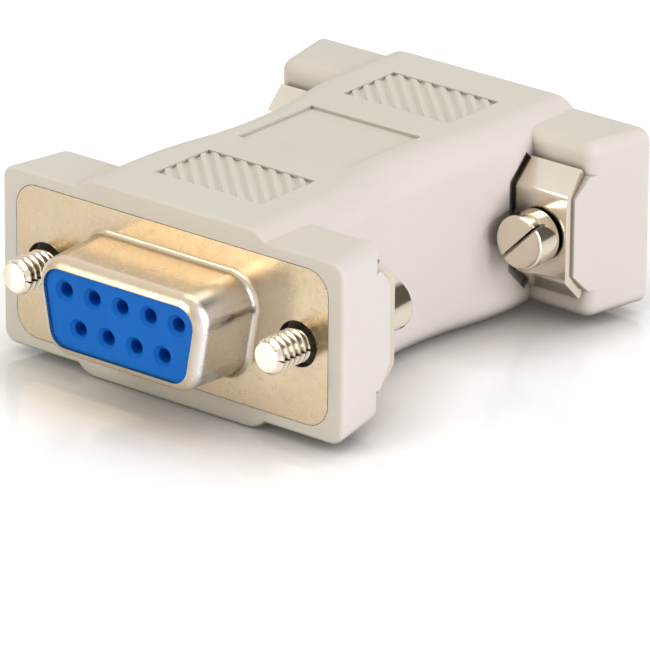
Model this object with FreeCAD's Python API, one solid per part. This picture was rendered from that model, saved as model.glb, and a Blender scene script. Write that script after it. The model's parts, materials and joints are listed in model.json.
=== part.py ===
# Moulded adapter from a 9-way D-sub socket to a 15-way high-density D-sub plug, with four jackscrews.
# X runs across the width, Y from the socket end to the plug end, Z up. The origin lies under the middle.
# Each end is first built in its own end frame: x across, y into the housing from the flange face, z up.
import FreeCAD, Part
import math
import os

V = FreeCAD.Vector

# the distance between the screws sets the width of everything in the D-sub family, mm
screw_offset = 24.99 / 2    # from the middle to a screw's axis
flange_end_margin = 2.91    # from a screw's axis to the end of the flange
socket_shell_margin = 3.895 # from a screw's axis in to where the socket shell's top and side would meet
plug_shell_margin = 3.185   # the same for the plug's shell
contact_end_margin = 3.06   # from that corner of the socket's shell to the end contact of the long row
pin_end_margin = 4.73       # from that corner of the plug's shell to the middle of the end pins

# connector flange and shell sizes, mm
flange_half_width = screw_offset + flange_end_margin
flange_half_height = 12.55 / 2
flange_corner_radius = 2.0
plate_thickness = 0.5
flange_hole_radius = 1.85
shell_wall = 0.3
shell_height = 6.1
shell_root_radius = 0.45
shell_draft = 0.033         # growth of the drawn shells on each side, toward the flange, per mm
lip_radius = 1.1            # the socket shell's front edge rolls in by this radius, outside
lip_drop = 0.78             # and ends this far in from the shell's outside
lip_turn = lip_radius * (math.sqrt(1 + shell_draft ** 2) - shell_draft)
lip_front = -shell_height - lip_radius + math.sqrt(lip_radius ** 2 - (lip_turn - lip_drop) ** 2)
side_angle = math.radians(10)
side_slope = math.tan(side_angle)
# each outline of a shell's front end, outside, is its half width at the wide side as if its corners
# were sharp, its half height and its corner radius
socket_half_height = 7.90 / 2
socket_corner_radius = 2.3
socket_outer = (screw_offset - socket_shell_margin, socket_half_height, socket_corner_radius)
plug_half_height = 4.18 + shell_wall
plug_corner_radius = 2.6
plug_outer = (screw_offset - plug_shell_margin, plug_half_height, plug_corner_radius)
rear_cup_depth = 3.2
rear_block_depth = 3.5
insulator_gap = 0.03        # between an insulator and the shell round it
contact_gap = 0.03          # between a contact and its hole

# socket contacts, mm: their radii are shares of the pitch, so neighbours never meet
socket_pitch = (socket_outer[0] - contact_end_margin) / 2
socket_row_half = 2.84 / 2
socket_face = lip_front + shell_wall + insulator_gap
contact_radius = 0.29 * socket_pitch
contact_collar_radius = 0.36 * socket_pitch
contact_bore_radius = 0.19 * socket_pitch
contact_tail_radius = 0.225 * socket_pitch
contact_cup_radius = 0.15 * socket_pitch
contact_split_half = 0.035 * socket_pitch
mouth_radius = 0.21 * socket_pitch
mouth_flare_radius = 0.32 * socket_pitch
mouth_flare_depth = 0.3
contact_front = -4.2
contact_bore_depth = 4.7
contact_split_depth = 3.2
contact_tail_end = 7.0

# plug pins, mm
plug_pitch = (plug_outer[0] - pin_end_margin) / 2
plug_row_gap = 1.98
plug_face = -0.8
pin_radius = 0.166 * plug_pitch
pin_collar_radius = 0.33 * plug_pitch
pin_tail_radius = 0.24 * plug_pitch
pin_cup_radius = 0.15 * plug_pitch
pin_tip = -5.3
pin_tip_length = 0.45
pin_tail_end = 6.2
collar_start = 2 * plate_thickness
collar_length = 0.5
cup_depth = 1.8

# jackscrews and the straps that hold them, mm
thread_radius = 2.845 / 2
thread_reach = 3.6          # how far the screw stands out of the flange
thread_chamfer = 0.25
thread_end = 0.1
thread_runout = 0.3
neck_radius = 1.0
head_radius = 2.2
head_length = 2.5
head_edge = 0.2
slot_width = 0.3
slot_depth = 0.9
slot_angle = 45
head_gap = 0.25
screw_bore_radius = 1.8
head_pocket_radius = 3.05
strap_width = 5.1
strap_thickness = 0.8
strap_hole_radius = 1.2
strap_plate_half = 3.55
strap_foot_length = 2.62    # from the bend to the end of a foot, on the outside
strap_foot_angle = math.radians(45)
strap_bend_radius = 0.6
strap_side_gap = 0.45       # slot between the strap and the side of the body
strap_slot_depth = 1.6      # how far the slot and the head's pocket go on behind the strap
boss_margin = 0.05          # boss past the strap's outer edge
boss_height = 1.55

# housing sizes, mm
housing_length = 38.2
rim_end_margin = 1.45       # housing past each end of the flange
rim_half_width = flange_half_width + rim_end_margin
wing_depth = 6.1
wing_half_height = 7.3
wing_edge_radius = 1.1
body_side_gap = 0.045       # between a strap and the side of the body
body_half_width = screw_offset - strap_width / 2 - body_side_gap
body_half_height = 8.1
body_edge_radius = 2.4
waist_sag = 1.3             # how far the sides come in at the waist
waist_half_length = 12.4
rim_edge_radius = 0.25
flange_seat_gap = 0.05      # all round the flange, in the housing's end

# inner mould and wires, mm
mould_side_wall = 2.6       # housing at the sides of the inner mould
mould_half_width = body_half_width - mould_side_wall
mould_half_height = 4.6
mould_corner_radius = 1.2
wire_radius = 0.45
wire_lead = 1.2
wire_aside = 1.2            # how far the eighth wire is led aside, round the ones that cross it

# top face relief, mm
label_side_margin = 4.45
label_half_width = body_half_width - label_side_margin
label_half_length = 4.5
label_depth = 0.25
grip_side_margin = 4.6
grip_half_width = body_half_width - grip_side_margin
grip_length = 6.4
grip_end_margin = 4.5
grip_depth = 0.08           # the whole patch lies this much below the top face
groove_pitch = 1.0
groove_radius = 0.36        # round-bottomed grooves
groove_depth = 0.26

half_length = housing_length / 2
axis_height = body_half_height
strap_front = wing_depth + boss_height + strap_thickness
head_face = strap_front + head_gap + head_length
boss_half_width = screw_offset + strap_width / 2 + boss_margin
contact_sites = [((2 - i) * socket_pitch, socket_row_half) for i in range(5)]
contact_sites += [((1.5 - i) * socket_pitch, -socket_row_half) for i in range(4)]
row_shift = plug_pitch / 4


def pin_site(number):
    """Place of a plug pin in the plug's end frame, where pin 1 lies at low x."""
    row = (number - 1) // 5
    column = (number - 1) % 5
    shift = row_shift if row == 1 else -row_shift
    return ((column - 2) * plug_pitch + shift, (1 - row) * plug_row_gap)


# shape helpers
def box(x0, x1, y0, y1, z0, z1):
    """Box between two corners."""
    return Part.makeBox(x1 - x0, y1 - y0, z1 - z0, V(x0, y0, z0))


def rod(x, z, radius, y0, y1):
    """Cylinder along Y."""
    return Part.makeCylinder(radius, y1 - y0, V(x, y0, z), V(0, 1, 0))


def taper(x, z, radius0, radius1, y0, y1):
    """Cone frustum along Y."""
    return Part.makeCone(radius0, radius1, y1 - y0, V(x, y0, z), V(0, 1, 0))


def joined(shapes):
    """One clean solid from several that touch."""
    return shapes[0].fuse(shapes[1:]).removeSplitter()


def edges_along(solid, direction, keep=lambda edge: True):
    """Straight edges that run in one direction."""
    found = []
    for edge in solid.Edges:
        if edge.Curve.TypeId != "Part::GeomLine":
            continue
        along = abs(edge.tangentAt(edge.FirstParameter).dot(direction))
        if along > 0.99 and keep(edge):
            found.append(edge)
    return found


def rounded(solid, radius, direction, keep=lambda edge: True):
    """The solid with its straight edges in one direction rounded."""
    return solid.makeFillet(radius, edges_along(solid, direction, keep))


def d_corners(outline, grow, y):
    """Corners of the D before they are rounded, wide side up, grown evenly all round."""
    half_top, half_height, _ = outline
    top = half_top + grow * (1 / math.cos(side_angle) + side_slope)
    half = half_height + grow
    bottom = top - 2 * half * side_slope
    return [V(-top, y, half), V(top, y, half), V(bottom, y, -half), V(-bottom, y, -half)]


def d_prism(outline, grow, y0, y1, draft=0):
    """D-shaped prism along Y, which with a draft widens toward the flange from the shell's front on."""
    front, back = [d_corners(outline, grow + draft * (y + shell_height), y) for y in (y0, y1)]
    sides = [[front[i - 1], front[i], back[i], back[i - 1]] for i in range(4)]
    faces = [Part.Face(Part.makePolygon(points + points[:1])) for points in [front[::-1], back] + sides]
    return rounded(Part.Solid(Part.Shell(faces)), outline[2] + grow, V(0, 1, 0))


def drawn(outline, grow, y0, y1):
    """The same prism for what is drawn or moulded with a draft."""
    return d_prism(outline, grow, y0, y1, shell_draft)


def front_rounded(solid, radius):
    """The solid with the edge round its front end rounded."""
    front = min(e.BoundBox.YMin for e in solid.Edges)
    return solid.makeFillet(radius, [e for e in solid.Edges if e.BoundBox.YMax < front + 0.01])


def flange_plate(grow, y0, y1):
    """Flat plate with rounded corners."""
    width = flange_half_width + grow
    height = flange_half_height + grow
    plate = box(-width, width, y0, y1, -height, height)
    return rounded(plate, flange_corner_radius + grow, V(0, 1, 0))


def at_socket_end(shape):
    """From the end frame to the socket end of the part."""
    placed = shape.copy()
    placed.translate(V(0, -half_length, axis_height))
    return placed


def at_plug_end(shape):
    """From the end frame to the plug end of the part, turned half round."""
    placed = shape.copy()
    placed.rotate(V(0, 0, 0), V(0, 0, 1), 180)
    placed.translate(V(0, half_length, axis_height))
    return placed


# connector shells
def front_shell(outside, hollows):
    """Pressed flange with a drawn D-shaped shell standing out of it, and its screw holes."""
    shell = joined([flange_plate(0, 0, plate_thickness), outside])
    root = [e for e in shell.Edges if abs(e.BoundBox.YMin) < 0.01 and e.BoundBox.YLength < 0.01
            and e.BoundBox.XMax < screw_offset and e.BoundBox.XMin > -screw_offset]
    holes = [rod(side * screw_offset, 0, flange_hole_radius, -1, 1) for side in (-1, 1)]
    return shell.makeFillet(shell_root_radius, root).cut(hollows + holes)


def rolled(inset, y1):
    """What lies a given depth under the outside of the socket's shell, with its rolled front edge."""
    return front_rounded(drawn(socket_outer, -inset, lip_front + inset, y1), lip_radius - inset)


def socket_front_shell():
    """Shell with its front edge rolled in, as far as the insulator's face."""
    opening = drawn(socket_outer, -lip_drop, lip_front - 1, 0)
    return front_shell(rolled(0, plate_thickness), [rolled(shell_wall, plate_thickness + 1), opening])


def plug_front_shell():
    """Open shell with a soft front edge."""
    outside = front_rounded(drawn(plug_outer, 0, -shell_height, plate_thickness), shell_wall * 0.7)
    return front_shell(outside, [drawn(plug_outer, -shell_wall, -shell_height - 1, plate_thickness + 1)])


def rear_shell(outline):
    """Second flange plate with the drawn cup that holds the rear insulator."""
    cup = d_prism(outline, 2 * shell_wall, plate_thickness, collar_start + rear_cup_depth)
    shell = joined([flange_plate(0, plate_thickness, collar_start), cup])
    shell = shell.cut(d_prism(outline, shell_wall, 0, collar_start + rear_cup_depth + 1))
    for side in (-1, 1):
        shell = shell.cut(rod(side * screw_offset, 0, flange_hole_radius, 0, 2))
    return shell


# insulators
def insulator_step(outline):
    """Step behind the front shell's flange, which keeps a front insulator in."""
    return d_prism(outline, shell_wall - insulator_gap, plate_thickness, collar_start)


def socket_front_insulator():
    """Block that fills the shell up to its rolled edge."""
    solid = joined([rolled(shell_wall + insulator_gap, plate_thickness), insulator_step(socket_outer)])
    return solid.cut([socket_hole(x, z) for x, z in contact_sites])


def plug_front_insulator():
    """Block at the bottom of the plug's shell, with a plain hole for each pin."""
    block = drawn(plug_outer, -shell_wall - insulator_gap, plug_face, plate_thickness)
    holes = [rod(x, z, pin_radius + contact_gap, plug_face - 1, collar_start + 1) for x, z in plug_sites]
    return joined([block, insulator_step(plug_outer)]).cut(holes)


def rear_insulator(outline, sites, collar_radius, tail_radius):
    """Block inside the rear cup, with a counterbore for each contact's collar."""
    end = collar_start + rear_block_depth
    block = d_prism(outline, shell_wall - insulator_gap, collar_start, end)
    holes = []
    for x, z in sites:
        holes.append(rod(x, z, collar_radius + contact_gap, 0, collar_start + collar_length))
        holes.append(rod(x, z, tail_radius + contact_gap, 0, end + 1))
    return block.cut(holes)


def socket_hole(x, z):
    """Flared mouth, narrow throat and the chamber that holds a socket contact."""
    mouth = taper(x, z, mouth_flare_radius, mouth_radius, socket_face, socket_face + mouth_flare_depth)
    throat = rod(x, z, mouth_radius, socket_face - 1, contact_front + 1)
    chamber = rod(x, z, contact_radius + contact_gap, contact_front, collar_start + 1)
    return mouth.fuse([throat, chamber])


# contacts
def solder_tail(x, z, radius, cup_radius, end):
    """Round tail with a cup in its end, cut away above for the solder."""
    tail = rod(x, z, radius, collar_start, end)
    cup = rod(x, z, cup_radius, end - cup_depth, end + 1)
    window = box(x - radius, x + radius, end - cup_depth * 0.6, end + 1, z + cup_radius * 0.8, z + 2 * radius)
    return tail.cut([cup, window])


def socket_contact(x, z):
    """Turned contact with a split bore for a pin, a collar and a solder cup."""
    barrel = rod(x, z, contact_radius, contact_front, collar_start)
    collar = rod(x, z, contact_collar_radius, collar_start, collar_start + collar_length)
    tail = solder_tail(x, z, contact_tail_radius, contact_cup_radius, contact_tail_end)
    bore_end = contact_front + contact_bore_depth
    bore = rod(x, z, contact_bore_radius, contact_front - 1, bore_end)
    lead_in = taper(x, z, contact_collar_radius - contact_cup_radius / 2, contact_bore_radius,
                    contact_front, contact_front + mouth_flare_depth)
    split = box(x - contact_split_half, x + contact_split_half, contact_front - 1,
                contact_front + contact_split_depth, z - contact_collar_radius, z + contact_collar_radius)
    return joined([barrel, collar, tail]).cut([bore, lead_in, split])


def plug_pin(x, z):
    """Solid pin with a tapered tip, a collar and a solder cup."""
    tip = taper(x, z, pin_radius * 0.45, pin_radius, pin_tip, pin_tip + pin_tip_length)
    shank = rod(x, z, pin_radius, pin_tip + pin_tip_length, collar_start)
    collar = rod(x, z, pin_collar_radius, collar_start, collar_start + collar_length)
    tail = solder_tail(x, z, pin_tail_radius, pin_cup_radius, pin_tail_end)
    return joined([tip, shank, collar, tail])


# wires from the solder cups of the contacts to those of the pins
wire_start = -half_length + contact_tail_end
wire_end = half_length - pin_tail_end


def wired_pin(contact_number):
    """Number of the plug pin that a contact is wired to."""
    return {4: 13, 5: 14, 9: 10}.get(contact_number, contact_number)


def wire(contact_number):
    """Insulated wire in straight runs, with a bare end in the cup at each end."""
    x0, z0 = contact_sites[contact_number - 1]
    x1, z1 = pin_site(wired_pin(contact_number))
    x1 = -x1
    z0 = z0 + axis_height
    z1 = z1 + axis_height
    points = [V(x0, wire_start, z0), V(x0, wire_start + wire_lead, z0)]
    if contact_number == 8:
        middle = (wire_start + wire_end) / 2
        points.append(V((x0 + x1) / 2 - wire_aside, middle, (z0 + z1) / 2))
    points += [V(x1, wire_end - wire_lead, z1), V(x1, wire_end, z1)]
    path = Part.makePolygon(points)
    ring = Part.Wire(Part.makeCircle(wire_radius, points[0], V(0, 1, 0)))
    cover = path.makePipeShell([ring], True, False, 1)
    front = rod(x0, z0, contact_cup_radius, wire_start - cup_depth, wire_start)
    rear = rod(x1, z1, pin_cup_radius, wire_end, wire_end + cup_depth)
    return joined([cover, front, rear])


# inner mould
def mould_block():
    """Plain block of the first shot, between the backs of the two connectors."""
    reach = half_length - collar_start - rear_block_depth
    block = box(-mould_half_width, mould_half_width, -reach, reach,
                axis_height - mould_half_height, axis_height + mould_half_height)
    return rounded(block, mould_corner_radius, V(0, 1, 0))


def inner_mould(wires):
    """First shot, set round the solder tails and the wires."""
    ends = [at_socket_end(rod(x, z, contact_tail_radius, 0, contact_tail_end)) for x, z in contact_sites]
    for number in range(1, 16):
        x, z = pin_site(number)
        ends.append(at_plug_end(rod(x, z, pin_tail_radius, 0, pin_tail_end)))
    return mould_block().cut(ends).cut(wires)


# straps and jackscrews, in the end frame
def strap_line(depth):
    """Corner points of a line that lies a given depth under the strap's outer face, top half."""
    away = V(0, -math.sin(strap_foot_angle), math.cos(strap_foot_angle))
    inward = V(0, -math.cos(strap_foot_angle), -math.sin(strap_foot_angle))
    bend = strap_plate_half - depth * math.tan(strap_foot_angle / 2)
    foot = V(0, strap_front, strap_plate_half) + away * strap_foot_length + inward * depth
    return (strap_front - depth, bend), (foot.y, foot.z)


def bent_strip(x0, x1, outer_depth, inner_depth):
    """Strip bent over the boss, between two depths under the strap's outer face."""
    outer_corner, outer_foot = strap_line(outer_depth)
    inner_corner, inner_foot = strap_line(inner_depth)
    upper = [outer_foot, outer_corner]
    lower = [(y, -z) for y, z in (outer_corner, outer_foot, inner_foot, inner_corner)]
    outline = upper + lower + [inner_corner, inner_foot]
    points = [V(x0, y, z) for y, z in outline]
    return Part.Face(Part.makePolygon(points + points[:1])).extrude(V(x1 - x0, 0, 0))


def strap(side):
    """Bent strap with a hole that holds the neck of the jackscrew."""
    x = side * screw_offset
    strip = bent_strip(x - strap_width / 2, x + strap_width / 2, 0, strap_thickness)
    strip = rounded(strip, strap_bend_radius, V(1, 0, 0),
                    lambda e: abs(e.CenterOfMass.y - strap_front) < 0.01)
    return strip.cut(rod(x, 0, strap_hole_radius, 0, strap_front + 1))


def jackscrew(side):
    """Screw with a full thread at the tip, a thin neck under the strap and a slotted round head."""
    r = head_radius
    base = strap_front + head_gap
    profile = [(0, -thread_reach), (thread_radius - thread_chamfer, -thread_reach),
               (thread_radius, thread_chamfer - thread_reach), (thread_radius, thread_end - thread_runout),
               (neck_radius, thread_end), (neck_radius, base),
               (r - head_edge, base), (r, base + head_edge), (r, head_face - head_edge),
               (r - head_edge, head_face), (0, head_face)]
    points = [V(a, y, 0) for a, y in profile]
    screw = Part.Face(Part.makePolygon(points + points[:1])).revolve(V(0, 0, 0), V(0, 1, 0), 360)
    slot = box(-r - 1, r + 1, head_face - slot_depth, head_face + 1, -slot_width / 2, slot_width / 2)
    slot.rotate(V(0, 0, 0), V(0, 1, 0), slot_angle)
    screw = screw.cut(slot)
    screw.translate(V(side * screw_offset, 0, 0))
    return screw


# housing
def waist_side(side):
    """Smooth side of the waist seen from above: an inward arc between two outward arcs, all of one radius."""
    radius = (waist_half_length ** 2 + waist_sag ** 2) / (4 * waist_sag)
    turn = math.asin(waist_half_length / 2 / radius)

    def outward(angle, end):
        return V(side * (body_half_width - radius * (1 - math.cos(angle))),
                 end * (waist_half_length - radius * math.sin(angle)), 0)

    def inward(angle):
        come_in = waist_sag - radius * (1 - math.cos(angle))
        return V(side * (body_half_width - come_in), radius * math.sin(angle), 0)

    return [Part.Arc(outward(0, -1), outward(turn / 2, -1), outward(turn, -1)).toShape(),
            Part.Arc(inward(-turn), inward(0), inward(turn)).toShape(),
            Part.Arc(outward(turn, 1), outward(turn / 2, 1), outward(0, 1)).toShape()]


def long_body():
    """Raised middle of the housing from end to end, with soft edges."""
    w = body_half_width
    edges = waist_side(-1) + waist_side(1)
    for side in (-1, 1):
        edges.append(Part.makeLine(V(-w, side * half_length, 0), V(w, side * half_length, 0)))
        for end in (-1, 1):
            rim, waist_start = V(side * w, end * half_length, 0), V(side * w, end * waist_half_length, 0)
            edges.append(Part.makeLine(rim, waist_start))
    outline = Part.Wire(Part.__sortEdges__(edges))
    body = Part.Face(outline).extrude(V(0, 0, 2 * body_half_height))
    long_edges = [e for e in body.Edges if e.BoundBox.ZLength < 0.01 and e.BoundBox.YLength > 1]
    body = body.makeFillet(body_edge_radius, long_edges)
    rims = [e for e in body.Edges
            if e.BoundBox.YLength < 0.01 and abs(abs(e.CenterOfMass.y) - half_length) < 0.01]
    return body.makeFillet(rim_edge_radius, rims)


def between_wing_sides(profile):
    """Prism across the housing of a (y, z) outline, ended by the wings' leaning sides."""
    points = [V(-rim_half_width, y, z) for y, z in profile]
    solid = Part.Face(Part.makePolygon(points + points[:1])).extrude(V(2 * rim_half_width, 0, 0))
    corners = [(-rim_half_width, 0), (rim_half_width, 0), (boss_half_width, strap_front),
               (-boss_half_width, strap_front)]
    plan = [V(x, y, -axis_height) for x, y in corners]
    return solid.common(Part.Face(Part.makePolygon(plan + plan[:1])).extrude(V(0, 0, 2 * axis_height)))


def wings():
    """Pair of wings at one end with the bosses the straps lie on, in the end frame."""
    half = wing_half_height
    block = between_wing_sides([(0, half), (wing_depth, half), (wing_depth, -half), (0, -half)])
    inner = [e for e in block.Edges if e.BoundBox.YMax > wing_depth - 0.01]
    block = block.makeFillet(wing_edge_radius, inner)
    block = block.makeFillet(rim_edge_radius, [e for e in block.Edges if e.BoundBox.YMax < 0.01])
    y, z = strap_line(strap_thickness)[0]
    spread = z + (y - wing_depth) / math.tan(strap_foot_angle)
    profile = [(wing_depth / 2, spread), (wing_depth, spread), (y, z)]
    profile += [(y, -z) for y, z in reversed(profile)]
    return joined([block, between_wing_sides(profile)])


def end_cuts(outline, strap_shapes):
    """Everything taken out of the housing at one end, in the end frame."""
    cuts = [flange_plate(flange_seat_gap, -1, collar_start),
            d_prism(outline, 2 * shell_wall, 0, collar_start + rear_cup_depth),
            d_prism(outline, shell_wall - insulator_gap, 0, collar_start + rear_block_depth)]
    strap_inside = screw_offset - strap_width / 2
    slot_floor = strap_thickness + strap_slot_depth
    beside = box(-strap_inside, strap_inside, 0, half_length, -axis_height, axis_height)
    for side in (-1, 1):
        x = side * screw_offset
        cuts.append(rod(x, 0, screw_bore_radius, 0, strap_front))
        cuts.append(rod(x, 0, head_pocket_radius, strap_front - strap_thickness, head_face + head_length))
        pocket = rod(x, 0, head_pocket_radius, strap_front - slot_floor, head_face)
        cuts.append(pocket.common(beside))
        edge = side * strap_inside
        gap = edge - side * strap_side_gap
        cuts.append(bent_strip(min(edge, gap), max(edge, gap), -strap_side_gap, slot_floor))
    return cuts + strap_shapes


def grip_patch(side):
    """What is taken out of the top for one grip patch: a shallow field and slanting round grooves in it."""
    middle = side * (half_length - grip_end_margin - grip_length / 2)
    top = 2 * body_half_height
    front, back = middle - grip_length / 2, middle + grip_length / 2
    field = box(-grip_half_width, grip_half_width, front, back, top - grip_depth, top + 1)
    inside = box(-grip_half_width, grip_half_width, front, back, top - 1, top + 1)
    reach = (grip_half_width + grip_length / 2) / math.sqrt(2)
    count = int(2 * reach / groove_pitch)
    cuts = [field]
    for i in range(count):
        start = V(-2 * reach, (i - (count - 1) / 2) * groove_pitch, top - groove_depth + groove_radius)
        groove = Part.makeCylinder(groove_radius, 4 * reach, start, V(1, 0, 0))
        groove.rotate(V(0, 0, 0), V(0, 0, 1), -45)
        groove.translate(V(0, middle, 0))
        cuts.append(groove.common(inside))
    return cuts


def housing(straps):
    """Soft one-piece overmould with everything inside it taken out."""
    body = long_body()
    solid = joined([body, at_socket_end(wings()), at_plug_end(wings())])
    solid = solid.cut([at_socket_end(c) for c in end_cuts(socket_outer, straps)])
    solid = solid.cut([at_plug_end(c) for c in end_cuts(plug_outer, straps)])
    solid = solid.cut(mould_block())
    top = 2 * body_half_height
    label = box(-label_half_width, label_half_width, -label_half_length, label_half_length,
                top - label_depth, top + 1)
    return solid.cut([label] + grip_patch(-1) + grip_patch(1))


# all pieces by name
straps = [strap(-1), strap(1)]
wires = [wire(number) for number in range(1, 10)]
plug_sites = [pin_site(number) for number in range(1, 16)]
pieces = {
    "housing": housing(straps),
    "inner_mould": inner_mould(wires),
    "socket_front_shell": at_socket_end(socket_front_shell()),
    "socket_rear_shell": at_socket_end(rear_shell(socket_outer)),
    "socket_front_insulator": at_socket_end(socket_front_insulator()),
    "socket_rear_insulator": at_socket_end(
        rear_insulator(socket_outer, contact_sites, contact_collar_radius, contact_tail_radius)),
    "plug_front_shell": at_plug_end(plug_front_shell()),
    "plug_rear_shell": at_plug_end(rear_shell(plug_outer)),
    "plug_front_insulator": at_plug_end(plug_front_insulator()),
    "plug_rear_insulator": at_plug_end(
        rear_insulator(plug_outer, plug_sites, pin_collar_radius, pin_tail_radius)),
}
for number, (x, z) in enumerate(contact_sites, 1):
    pieces[f"socket_contact_{number}"] = at_socket_end(socket_contact(x, z))
for number, (x, z) in enumerate(plug_sites, 1):
    pieces[f"plug_pin_{number}"] = at_plug_end(plug_pin(x, z))
for number, shape in enumerate(wires, 1):
    pieces[f"wire_{number}"] = shape
for name, side in (("left", -1), ("right", 1)):
    pieces[f"socket_strap_{name}"] = at_socket_end(strap(side))
    pieces[f"socket_jackscrew_{name}"] = at_socket_end(jackscrew(side))
    pieces[f"plug_strap_{name}"] = at_plug_end(strap(-side))
    pieces[f"plug_jackscrew_{name}"] = at_plug_end(jackscrew(-side))

os.makedirs("parts", exist_ok=True)
for name, shape in pieces.items():
    shape.exportStep(f"parts/{name}.step")
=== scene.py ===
"""Looks for a moulded D-sub adapter: materials, threaded jackscrews, studio floor, lamps and camera."""
import json
import math

import bmesh
import bpy
from mathutils import Matrix, Vector


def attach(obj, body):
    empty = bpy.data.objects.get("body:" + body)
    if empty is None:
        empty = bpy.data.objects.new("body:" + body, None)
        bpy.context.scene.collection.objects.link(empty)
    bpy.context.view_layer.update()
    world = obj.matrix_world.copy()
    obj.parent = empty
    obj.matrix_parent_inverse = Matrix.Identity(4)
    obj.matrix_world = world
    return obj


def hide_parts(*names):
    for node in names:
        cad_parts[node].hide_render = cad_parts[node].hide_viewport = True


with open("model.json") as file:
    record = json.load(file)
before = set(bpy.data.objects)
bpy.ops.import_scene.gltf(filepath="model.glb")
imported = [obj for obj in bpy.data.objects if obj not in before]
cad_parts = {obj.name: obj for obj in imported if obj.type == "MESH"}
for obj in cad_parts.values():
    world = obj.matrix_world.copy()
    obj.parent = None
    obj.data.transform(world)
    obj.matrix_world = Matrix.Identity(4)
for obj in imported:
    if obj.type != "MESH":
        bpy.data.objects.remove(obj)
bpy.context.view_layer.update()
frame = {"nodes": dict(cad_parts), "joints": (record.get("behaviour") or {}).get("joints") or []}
scene = bpy.context.scene
MM = 0.001


# node helpers
class Nodes:
    """Short calls for the nodes of one tree."""

    def __init__(self, tree):
        self.tree = tree

    def node(self, kind, **settings):
        made = self.tree.nodes.new(kind)
        for key, value in settings.items():
            setattr(made, key, value)
        return made

    def link(self, source, target):
        self.tree.links.new(source, target)

    def fill(self, socket, value):
        """Gives an input its value, which is another socket, a number, a vector or a colour."""
        if isinstance(value, bpy.types.NodeSocket):
            self.link(value, socket)
        elif socket.type == "RGBA":
            socket.default_value = (*value, 1)
        else:
            socket.default_value = value

    def math(self, operation, *values):
        made = self.node("ShaderNodeMath", operation=operation)
        for value, socket in zip(values, made.inputs):
            self.fill(socket, value)
        return made.outputs[0]

    def ramp(self, source, stops):
        made = self.node("ShaderNodeValToRGB")
        self.link(source, made.inputs["Fac"])
        ramp = made.color_ramp
        while len(ramp.elements) < len(stops):
            ramp.elements.new(0.5)
        for element, (at, colour) in zip(ramp.elements, stops):
            element.position = at
            element.color = (*colour, 1)
        return made.outputs["Color"]

    def span(self, source, low, high, source_low=0.3, source_high=0.7):
        """The source with its own low and high brought to a new low and high, and held there."""
        made = self.node("ShaderNodeMapRange")
        self.link(source, made.inputs["Value"])
        made.inputs["From Min"].default_value = source_low
        made.inputs["From Max"].default_value = source_high
        made.inputs["To Min"].default_value = low
        made.inputs["To Max"].default_value = high
        return made.outputs["Result"]

    def mix(self, factor, a, b, blend="MIX"):
        made = self.node("ShaderNodeMix", data_type="RGBA", blend_type=blend)
        for value, place in ((factor, 0), (a, 6), (b, 7)):
            self.fill(made.inputs[place], value)
        return made.outputs[2]

    def ray_is(self, kind):
        return self.node("ShaderNodeLightPath").outputs[f"Is {kind} Ray"]

    def looked_at(self):
        """1 for what the camera sees, also mirrored or through glass, and 0 for what lights things."""
        mirrored = self.math("MAXIMUM", self.ray_is("Camera"), self.ray_is("Glossy"))
        return self.math("MAXIMUM", mirrored, self.ray_is("Transmission"))


class Shader(Nodes):
    """One material with short calls for its patterns."""

    def __init__(self, name):
        self.material = bpy.data.materials.new(name)
        self.material.use_nodes = True
        super().__init__(self.material.node_tree)
        self.bsdf = self.tree.nodes["Principled BSDF"]
        self.output = self.tree.nodes["Material Output"]
        self.place = self.node("ShaderNodeTexCoord").outputs["Object"]

    def set(self, **values):
        for key, value in values.items():
            self.bsdf.inputs[key.replace("_", " ")].default_value = value

    def stretched(self, scale):
        mapping = self.node("ShaderNodeMapping")
        self.link(self.place, mapping.inputs["Vector"])
        mapping.inputs["Scale"].default_value = scale
        return mapping.outputs["Vector"]

    def noise(self, scale, detail=3.0, rough=0.5, vector=None):
        made = self.node("ShaderNodeTexNoise")
        self.link(vector or self.place, made.inputs["Vector"])
        made.inputs["Scale"].default_value = scale
        made.inputs["Detail"].default_value = detail
        made.inputs["Roughness"].default_value = rough
        return made.outputs["Fac"]

    def openness(self, distance, samples):
        """1 on open surfaces, less in corners and hollows and near other things within the distance."""
        made = self.node("ShaderNodeAmbientOcclusion", samples=samples)
        made.inputs["Distance"].default_value = distance
        return made.outputs["AO"]

    def painted_corner_shade(self, distance, low, source_low=0.2, source_high=0.9):
        """Painted shade: grey that is 1 on open surfaces and falls to a low value in corners and hollows."""
        value = self.span(self.openness(distance, 8), low, 1.0, source_low, source_high)
        made = self.node("ShaderNodeCombineColor")
        for channel in made.inputs:
            self.link(value, channel)
        return made.outputs[0]

    def bump(self, layers):
        """Relief from layers of (height, strength, distance), each laid over the one before."""
        normal = None
        for height, strength, distance in layers:
            made = self.node("ShaderNodeBump")
            self.link(height, made.inputs["Height"])
            made.inputs["Strength"].default_value = strength
            made.inputs["Distance"].default_value = distance
            if normal:
                self.link(normal, made.inputs["Normal"])
            normal = made.outputs["Normal"]
        self.link(normal, self.bsdf.inputs["Normal"])


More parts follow.
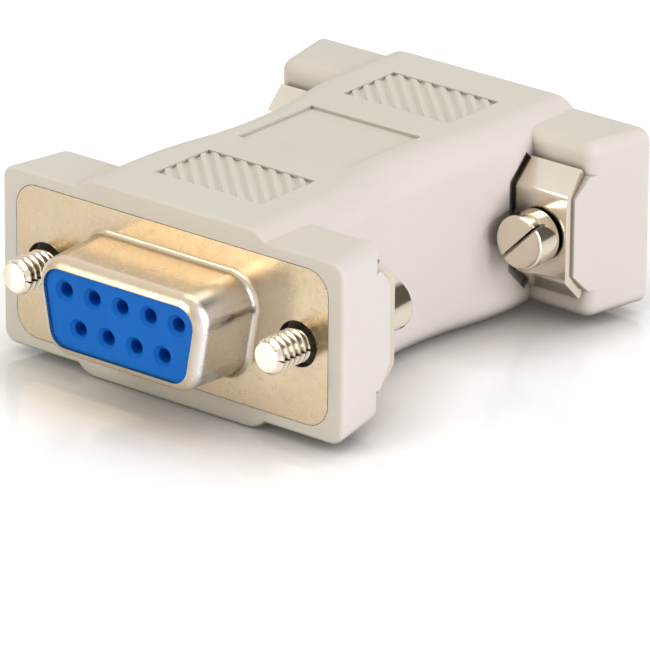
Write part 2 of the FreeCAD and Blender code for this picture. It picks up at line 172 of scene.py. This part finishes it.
# materials
def moulded_pvc():
    """Putty-coloured soft PVC: fine spark-eroded grain, faint flow marks and painted shade in corners and
    hollows.
    """
    s = Shader("moulded_pvc")
    cloud = s.noise(90, 3)
    tone = s.ramp(cloud, [(0.3, (0.715, 0.665, 0.562)), (0.7, (0.745, 0.698, 0.598))])
    streak = s.noise(45, 4, 0.6, s.stretched((1, 0.25, 1)))
    tone = s.mix(s.span(streak, 0.0, 0.35), tone, (0.755, 0.710, 0.620))
    # painted shade in corners and hollows, multiplied into the colour
    tone = s.mix(1.0, tone, s.painted_corner_shade(0.0022, 0.25, 0.10, 0.80), "MULTIPLY")
    s.link(tone, s.bsdf.inputs["Base Color"])
    grain = s.noise(5200, 2)
    s.link(s.span(grain, 0.40, 0.54), s.bsdf.inputs["Roughness"])
    s.bump([(grain, 0.25, 0.00002), (s.noise(900, 3), 0.15, 0.00003)])
    s.set(Subsurface_Weight=0.12, Subsurface_Radius=(0.0012, 0.0009, 0.0006), Subsurface_Scale=1.0,
          Specular_IOR_Level=0.35)
    return s.material


def plated(name, light, dark, rough, drawn_along, painted_shade, painted_wall_tones=()):
    """Plated metal: cloudy tint, fine drawing lines, small dents and painted shade in corners. The painted
    shade is given by how far a corner is felt and how dark it gets. What faces along the axis of a wall has
    the wall's colour, a painted reflection tone."""
    s = Shader(name)
    cloud = s.noise(160, 4)
    lines = s.noise(1500, 3, 0.6, s.stretched(drawn_along))
    tone = s.mix(s.span(cloud, 0.0, 1.0), light, dark)
    # painted reflection tones: what faces along a wall's axis takes that wall's colour
    for axis, colour in painted_wall_tones:
        facing = s.node("ShaderNodeSeparateXYZ")
        s.link(s.node("ShaderNodeTexCoord").outputs["Normal"], facing.inputs[0])
        along = s.math("ABSOLUTE", facing.outputs[axis])
        tone = s.mix(s.span(along, 0.0, 1.0, 0.35, 0.9), tone, colour)
    # painted shade in corners, multiplied into the colour
    tone = s.mix(1.0, tone, s.painted_corner_shade(*painted_shade), "MULTIPLY")
    s.link(tone, s.bsdf.inputs["Base Color"])
    s.link(s.span(lines, *rough), s.bsdf.inputs["Roughness"])
    s.bump([(lines, 0.03, 0.00001), (s.noise(220, 2), 0.05, 0.00004)])
    s.set(Metallic=1.0)
    return s.material


def blue_plastic():
    """Glossy blue thermoplastic with faint flow marks."""
    s = Shader("blue_plastic")
    flow = s.noise(260, 4, 0.6, s.stretched((1, 1, 0.4)))
    tone = s.ramp(flow, [(0.3, (0.003, 0.142, 0.560)), (0.7, (0.004, 0.168, 0.640))])
    s.link(tone, s.bsdf.inputs["Base Color"])
    fine = s.noise(3500, 3)
    s.link(s.span(fine, 0.28, 0.42), s.bsdf.inputs["Roughness"])
    s.bump([(fine, 0.12, 0.00002), (flow, 0.1, 0.00005)])
    s.set(Specular_IOR_Level=0.15)
    return s.material


def plain_plastic(name, light, dark, rough):
    """Moulded or extruded plastic that is mostly hidden inside."""
    s = Shader(name)
    cloud = s.noise(300, 3)
    s.link(s.mix(s.span(cloud, 0.0, 1.0), light, dark), s.bsdf.inputs["Base Color"])
    fine = s.noise(4000, 2)
    s.link(s.span(fine, *rough), s.bsdf.inputs["Roughness"])
    s.bump([(fine, 0.15, 0.00002)])
    return s.material


PVC = moulded_pvc()
# each metal below gets painted shade in its corners, given as a reach and a darkness; the shell's wall
# colours are painted reflection tones
SHELL = plated("nickel_shell", light=(0.575, 0.468, 0.330), dark=(0.510, 0.408, 0.275), rough=(0.20, 0.30),
               drawn_along=(1, 0.15, 1), painted_shade=(0.003, 0.72),
               painted_wall_tones=(("Z", (0.70, 0.580, 0.425)), ("X", (0.74, 0.72, 0.70))))
STRAP = plated("nickel_strap", light=(0.80, 0.72, 0.60), dark=(0.72, 0.64, 0.52), rough=(0.10, 0.20),
               drawn_along=(0.2, 1, 1), painted_shade=(0.003, 0.35))
SCREW = plated("nickel_screw", light=(0.80, 0.72, 0.59), dark=(0.72, 0.64, 0.51), rough=(0.08, 0.18),
               drawn_along=(1, 0.1, 1), painted_shade=(0.0005, 0.12))
GOLD = plated("contact_gold_plate", light=(0.85, 0.62, 0.25), dark=(0.72, 0.50, 0.18), rough=(0.12, 0.25),
              drawn_along=(1, 0.2, 1), painted_shade=(0.002, 0.5))
BLUE = blue_plastic()
FIRST_SHOT = plain_plastic("first_shot", (0.74, 0.72, 0.66), (0.66, 0.63, 0.56), (0.35, 0.5))
WIRE = plain_plastic("wire_cover_plastic", (0.10, 0.10, 0.11), (0.16, 0.16, 0.17), (0.25, 0.4))


def material_for(node):
    if node == "housing":
        return PVC
    if node == "inner_mould":
        return FIRST_SHOT
    if "insulator" in node:
        return BLUE
    if "shell" in node:
        return SHELL
    if "strap" in node:
        return STRAP
    if "jackscrew" in node:
        return SCREW
    return WIRE if node.startswith("wire") else GOLD


for node, obj in frame["nodes"].items():
    for slot in obj.material_slots:
        slot.material = material_for(node)


# jackscrews with their thread, in mm: y is 0 at the flange's face and runs into the housing
PITCH = 0.635
CREST_RADIUS, ROOT_RADIUS, NECK_RADIUS, HEAD_RADIUS = 1.4225, 1.03, 1.0, 2.2
CREST_SHARE, FLANK_SHARE = 0.16, 0.66   # of half a pitch
TIP, THREAD_END, HEAD_BASE, HEAD_FACE = -3.6, 0.1, 8.70, 11.20
TIP_CHAMFER = 0.25
THREAD_RUNOUT = 0.3
HEAD_EDGE_RADIUS = 0.2
SLOT_WIDTH, SLOT_DEPTH, SLOT_ANGLE = 0.3, 0.9, math.radians(45)
SOFT_EDGE = 0.035
COLUMNS = 48
LEVELS_PER_TURN = 12
EDGE_STEPS = 4
MERGE_DISTANCE = 0.0004
SHARP_ANGLE = math.radians(40)
BEVEL_ANGLE = math.radians(60)


def thread_radius(phase):
    """Radius of a vee thread with a flat crest and a narrow root, for a phase of 0 to 1 along one pitch."""
    away = abs(phase - 0.5) * 2
    flank = min(max((away - CREST_SHARE) / FLANK_SHARE, 0), 1)
    return CREST_RADIUS - (CREST_RADIUS - ROOT_RADIUS) * flank


def thread_rings():
    """Rings of (radius, y) along the thread, each one turn of its helix with one pair for every column."""
    runout_slope = (CREST_RADIUS - NECK_RADIUS) / THREAD_RUNOUT
    rings = []
    for level in range(int((THREAD_END - TIP) / PITCH + 2) * LEVELS_PER_TURN):
        ring = []
        for column in range(COLUMNS):
            turn = column / COLUMNS
            y = TIP + (level / LEVELS_PER_TURN - 1 + turn) * PITCH
            y = min(max(y, TIP), THREAD_END)
            phase = ((y - TIP) / PITCH - turn) % 1.0
            limit = min(CREST_RADIUS - TIP_CHAMFER + (y - TIP), NECK_RADIUS + (THREAD_END - y) * runout_slope)
            ring.append((max(min(thread_radius(phase), limit), NECK_RADIUS), y))
        rings.append(ring)
    return rings


def head_outline():
    """Points of (radius, y) round the head, from the neck to its face."""
    inner = HEAD_RADIUS - HEAD_EDGE_RADIUS
    quarter = [math.radians(90 * i / EDGE_STEPS) for i in range(EDGE_STEPS + 1)]
    points = [(NECK_RADIUS, HEAD_BASE), (inner, HEAD_BASE)]
    for a in quarter:
        y = HEAD_BASE + HEAD_EDGE_RADIUS - HEAD_EDGE_RADIUS * math.cos(a)
        points.append((inner + HEAD_EDGE_RADIUS * math.sin(a), y))
    for a in quarter:
        y = HEAD_FACE - HEAD_EDGE_RADIUS + HEAD_EDGE_RADIUS * math.sin(a)
        points.append((inner + HEAD_EDGE_RADIUS * math.cos(a), y))
    return points + [(HEAD_RADIUS * 0.5, HEAD_FACE)]


def placed_object(bm, name, place):
    """New object from a mesh that is brought to its place by a matrix, then let go."""
    bmesh.ops.transform(bm, matrix=place, verts=bm.verts)
    mesh = bpy.data.meshes.new(name)
    bm.to_mesh(mesh)
    bm.free()
    obj = bpy.data.objects.new(name, mesh)
    scene.collection.objects.link(obj)
    return obj


def screw_body(name, place):
    """Thread, neck and head, without the slot."""
    bm = bmesh.new()
    rings = []
    for ring in thread_rings() + [[point] * COLUMNS for point in head_outline()]:
        made = []
        for column, (radius, y) in enumerate(ring):
            a = 2 * math.pi * column / COLUMNS
            made.append(bm.verts.new((radius * math.cos(a), y, radius * math.sin(a))))
        rings.append(made)
    for lower, upper in zip(rings, rings[1:]):
        for i in range(COLUMNS):
            j = (i + 1) % COLUMNS
            bm.faces.new((lower[i], upper[i], upper[j], lower[j]))
    bm.faces.new(rings[0])
    bm.faces.new(list(reversed(rings[-1])))
    bmesh.ops.remove_doubles(bm, verts=bm.verts, dist=MERGE_DISTANCE)
    bmesh.ops.recalc_face_normals(bm, faces=bm.faces)
    return placed_object(bm, name, place)


def slot_cutter(place):
    """Block that cuts the driver slot."""
    bm = bmesh.new()
    bmesh.ops.create_cube(bm, size=1)
    bmesh.ops.scale(bm, vec=(3 * HEAD_RADIUS, 2 * SLOT_DEPTH, SLOT_WIDTH), verts=bm.verts)
    bmesh.ops.translate(bm, vec=(0, HEAD_FACE, 0), verts=bm.verts)
    bmesh.ops.rotate(bm, matrix=Matrix.Rotation(SLOT_ANGLE, 3, "Y"), verts=bm.verts)
    return placed_object(bm, "slot_cutter", place)


def make_screw(joint):
    """Threaded screw in the place of the plain one that turns about this joint, whose axis points outward."""
    node = joint["child"]
    name = node + "_threaded"
    turn = Matrix.Rotation(math.pi, 4, "Z") if joint["axis"][1] > 0 else Matrix.Identity(4)
    place = Matrix.Translation(joint["pos_m"]) @ turn @ Matrix.Scale(MM, 4)
    raw = screw_body(name + "_raw", place)
    cutter = slot_cutter(place)
    cut = raw.modifiers.new("slot", "BOOLEAN")
    cut.operation = "DIFFERENCE"
    cut.solver = "EXACT"
    cut.object = cutter
    bevel = raw.modifiers.new("soft_edges", "BEVEL")
    bevel.width = SOFT_EDGE * MM
    bevel.segments = 2
    bevel.limit_method = "ANGLE"
    bevel.angle_limit = BEVEL_ANGLE
    bpy.context.view_layer.update()
    mesh = bpy.data.meshes.new_from_object(raw.evaluated_get(bpy.context.evaluated_depsgraph_get()))
    mesh.name = name
    for temporary in (raw, cutter):
        bpy.data.objects.remove(temporary)
    mesh.materials.clear()
    mesh.materials.append(SCREW)
    for polygon in mesh.polygons:
        polygon.use_smooth = True
    mesh.set_sharp_from_angle(angle=SHARP_ANGLE)
    screw = bpy.data.objects.new(name, mesh)
    scene.collection.objects.link(screw)
    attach(screw, node)
    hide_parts(node)


for joint in frame["joints"]:
    make_screw(joint)


# floor, backdrop and light, in metres
FLOOR_HALF = 4
FLOOR_DROP = 0.03 * MM
CONTACT_REACH = 0.011   # how far from the part the floor's painted contact shadow goes
AIM = Vector((0, 0, 0.008))


def floor_material():
    """Glossy white acrylic: white far away, and close by it keeps the lamps' shadow, a painted contact shadow
    and a faint mirror image.
    """
    s = Shader("white_acrylic_floor")
    white = s.ramp(s.noise(6, 2), [(0.3, (0.83, 0.83, 0.83)), (0.7, (0.85, 0.85, 0.85))])
    # painted contact shadow: the floor's colour and glow darken near the part
    shade = s.ramp(s.openness(CONTACT_REACH, 16), [(0.0, (0.15, 0.135, 0.115)), (0.5, (0.65, 0.625, 0.58)),
                                                   (0.85, (0.97, 0.96, 0.93)), (1.0, (1.0, 1.0, 1.0))])
    s.link(s.mix(1.0, white, shade, "MULTIPLY"), s.bsdf.inputs["Base Color"])
    s.set(Roughness=0.12, IOR=1.5)
    away = s.node("ShaderNodeVectorMath", operation="LENGTH")
    s.link(s.place, away.inputs[0])
    near_to_far = s.span(away.outputs["Value"], 0.33, 0.40, 0.03, 0.07)
    glow = s.node("ShaderNodeEmission")
    s.link(shade, glow.inputs["Color"])
    s.link(s.math("MULTIPLY", s.looked_at(), near_to_far), glow.inputs["Strength"])
    total = s.node("ShaderNodeAddShader")
    s.link(s.bsdf.outputs[0], total.inputs[0])
    s.link(glow.outputs[0], total.inputs[1])
    s.link(total.outputs[0], s.output.inputs["Surface"])
    return s.material


def studio_floor():
    """Wide flat floor just under the part."""
    bm = bmesh.new()
    bmesh.ops.create_grid(bm, x_segments=8, y_segments=8, size=FLOOR_HALF)
    floor = placed_object(bm, "studio_floor", Matrix.Identity(4))
    floor.location.z = -FLOOR_DROP
    floor.data.materials.append(floor_material())


def studio_world():
    """White for the camera, a white room with one dark part for the metal, and dim even light on things."""
    world = bpy.data.worlds.new("studio")
    world.use_nodes = True
    world.node_tree.nodes.clear()
    n = Nodes(world.node_tree)
    # the dark part lies low on the side that the lamps leave free
    toward = n.node("ShaderNodeVectorMath", operation="DOT_PRODUCT")
    n.link(n.node("ShaderNodeTexCoord").outputs["Generated"], toward.inputs[0])
    toward.inputs[1].default_value = (0.53, 0.78, 0.33)
    room = n.ramp(toward.outputs["Value"], [(0.75, (1, 1, 1)), (0.90, (0.12, 0.115, 0.10))])
    backdrop = n.node("ShaderNodeBackground")
    n.link(n.mix(n.ray_is("Camera"), room, (1, 1, 1)), backdrop.inputs["Color"])
    ambient = n.node("ShaderNodeBackground")
    n.fill(ambient.inputs["Color"], (0.97, 0.98, 1.0))
    ambient.inputs["Strength"].default_value = 0.32
    choose = n.node("ShaderNodeMixShader")
    n.link(n.looked_at(), choose.inputs[0])
    n.link(ambient.outputs[0], choose.inputs[1])
    n.link(backdrop.outputs[0], choose.inputs[2])
    n.link(choose.outputs[0], n.node("ShaderNodeOutputWorld").inputs["Surface"])
    return world


def softbox(name, place, side, power, colour):
    """Square lamp that is aimed at the middle of the part."""
    lamp = bpy.data.lights.new(name, "AREA")
    lamp.size = side
    lamp.energy = power
    lamp.color = colour
    obj = bpy.data.objects.new(name, lamp)
    obj.location = place
    obj.rotation_euler = (AIM - Vector(place)).to_track_quat("-Z", "Y").to_euler()
    scene.collection.objects.link(obj)


studio_floor()
scene.world = studio_world()
softbox("side_box", (0.64, 0.05, 0.30), 0.50, 3.5, (1.0, 0.965, 1.14))
softbox("top_box", (-0.10, 0.25, 0.72), 0.60, 1.15, (1.0, 0.98, 0.84))
softbox("front_box", (-0.25, -0.60, 0.35), 0.40, 2.25, (1.0, 0.97, 0.90))

# camera, fitted to the photograph: its place, two angles, roll, and the focal length in picture widths
CAMERA_PLACE = Vector((330.52, -409.87, 212.88)) * MM
AZIMUTH, ELEVATION, ROLL = 0.679067, 0.383433, 0.0076333
FOCAL_WIDTHS = 7269.26 / 650
SENSOR_WIDTH = 36


def fitted_camera():
    """Camera with the photograph's view of the part."""
    data = bpy.data.cameras.new("camera")
    data.sensor_fit = "HORIZONTAL"
    data.sensor_width = SENSOR_WIDTH
    data.lens = SENSOR_WIDTH * FOCAL_WIDTHS
    data.clip_start = 0.01
    data.clip_end = 20
    back = Vector((math.sin(AZIMUTH) * math.cos(ELEVATION), -math.cos(AZIMUTH) * math.cos(ELEVATION),
                   math.sin(ELEVATION)))
    right = (-back).cross(Vector((0, 0, 1))).normalized()
    up = right.cross(-back)
    rolled_right = math.cos(ROLL) * right + math.sin(ROLL) * up
    rolled_up = math.cos(ROLL) * up - math.sin(ROLL) * right
    camera = bpy.data.objects.new("camera", data)
    turned = Matrix((rolled_right, rolled_up, back)).transposed().to_4x4()
    camera.matrix_world = Matrix.Translation(CAMERA_PLACE) @ turned
    scene.collection.objects.link(camera)
    return camera


scene.camera = fitted_camera()
scene.view_settings.view_transform = "Standard"
